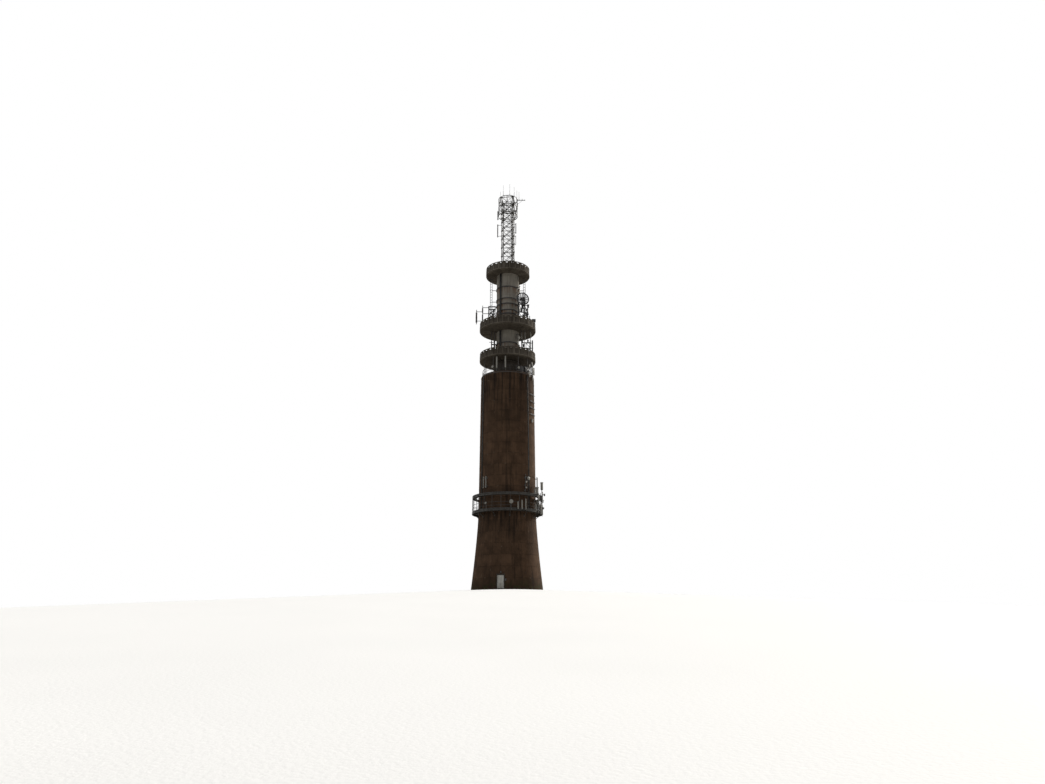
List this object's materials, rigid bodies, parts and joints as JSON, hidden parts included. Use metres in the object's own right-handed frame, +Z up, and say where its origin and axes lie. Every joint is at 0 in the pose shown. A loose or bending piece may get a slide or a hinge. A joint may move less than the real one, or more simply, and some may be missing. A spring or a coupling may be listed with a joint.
{
  "type": "scale model of a concrete radio tower with a lattice mast, at 1:2",
  "caption": "Round flared concrete radio tower with a hollow shaft, hinged entrance door, service gallery, ring galleries on an upper column, and an open lattice mast with aerials.",
  "frame": {"origin": "middle of the flat foot, on the ground", "axes": "+Z up the tower, -Y towards the side with the entrance door, +X to the right of the door seen from outside"},
  "size_m": [6.0992, 5.8471, 36.25],
  "materials": {
    "concrete": "weathered brown board-marked concrete",
    "pale_concrete": "pale grey concrete with rain streaks",
    "galvanised_steel": "dull galvanised steel",
    "dark_steel": "dark painted steel",
    "aerial_plastic": "weathered pale radome plastic",
    "door_paint": "worn pale grey door paint"
  },
  "bodies": {
    "tower": {"ground_floor": "concrete", "base_wall_front_left": "concrete", "base_wall_front_right": "concrete", "base_wall_left": "concrete", "base_wall_right": "concrete", "base_wall_back": "concrete", "wall_over_door": "concrete", "door_frame": "pale_concrete", "flare_wall_front": "concrete", "flare_wall_right": "concrete", "flare_wall_back": "concrete", "flare_wall_left": "concrete", "shaft_wall_front": "concrete", "shaft_wall_right": "concrete", "shaft_wall_back": "concrete", "shaft_wall_left": "concrete", "shaft_roof": "concrete", "service_deck": "galvanised_steel", "service_posts": "galvanised_steel", "service_rails": "galvanised_steel", "service_top_ring": "galvanised_steel", "service_aerials": "aerial_plastic", "shaft_aerials": "aerial_plastic", "core_column": "pale_concrete", "mounting_rings": "dark_steel", "column_aerials": "aerial_plastic", "lower_ring_slab": "concrete", "lower_ring_parapet": "concrete", "lower_ring_rail": "concrete", "middle_ring_slab": "concrete", "middle_ring_parapet": "concrete", "middle_ring_rail": "concrete", "top_ring_slab": "concrete", "top_ring_parapet": "concrete", "top_ring_rail": "concrete", "roof_aerials": "aerial_plastic", "ring_posts": "dark_steel", "column_ladders": "dark_steel", "braced_frame": "dark_steel", "loop_aerial": "dark_steel", "dish_frame": "dark_steel", "grid_dish": "galvanised_steel", "mast_legs": "galvanised_steel", "mast_side_front": "galvanised_steel", "mast_side_right": "galvanised_steel", "mast_side_back": "galvanised_steel", "mast_side_left": "galvanised_steel", "mast_head": "galvanised_steel", "whip_aerials": "aerial_plastic", "mast_aerials": "dark_steel"},
    "door": {"entrance_door": "door_paint"}
  },
  "joints": [
    {"name": "door_hinge", "type": "hinge", "parent": "tower", "child": "door", "pos_m": [-0.246, -2.885, 0.575], "axis": [0, 0, -1], "range_deg": [0, 100]}
  ]
}
